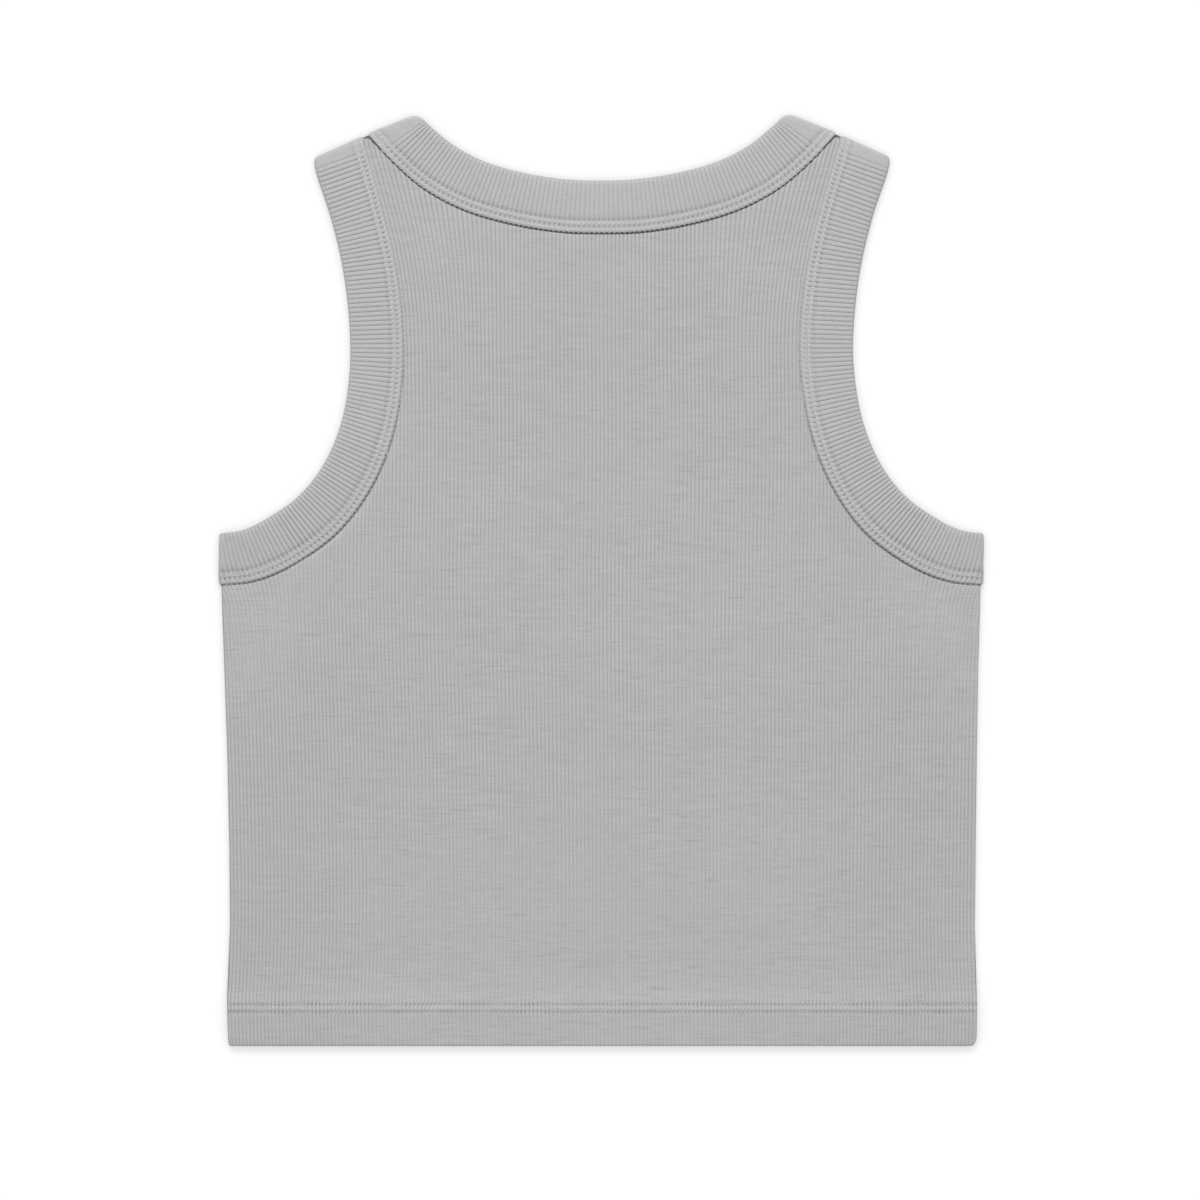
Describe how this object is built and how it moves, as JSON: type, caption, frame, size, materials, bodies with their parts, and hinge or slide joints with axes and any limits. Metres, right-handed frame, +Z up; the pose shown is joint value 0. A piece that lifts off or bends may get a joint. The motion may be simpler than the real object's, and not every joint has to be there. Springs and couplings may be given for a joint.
{
  "type": "tank top",
  "caption": "Cropped sleeveless rib-knit tank top lying flat face down, with wide ribbed bands round the neck and armholes and a stitched hem.",
  "frame": {"origin": "middle of the footprint of the garment as it lies flat, on the surface it lies on", "axes": "+Z up out of the surface, +Y from the hem towards the shoulders, +X across the garment to the wearer's right; the back of the garment is on top"},
  "size_m": [0.3824, 0.4654, 0.0044],
  "materials": {
    "body_rib": "fine vertical rib knit in pale cool grey, matt",
    "band_rib": "coarser rib knit in pale cool grey, matt"
  },
  "bodies": {
    "root": {"back_panel": "body_rib", "front_panel": "body_rib", "neck_binding": "band_rib", "armhole_binding_left": "band_rib", "armhole_binding_right": "band_rib"}
  },
  "joints": []
}
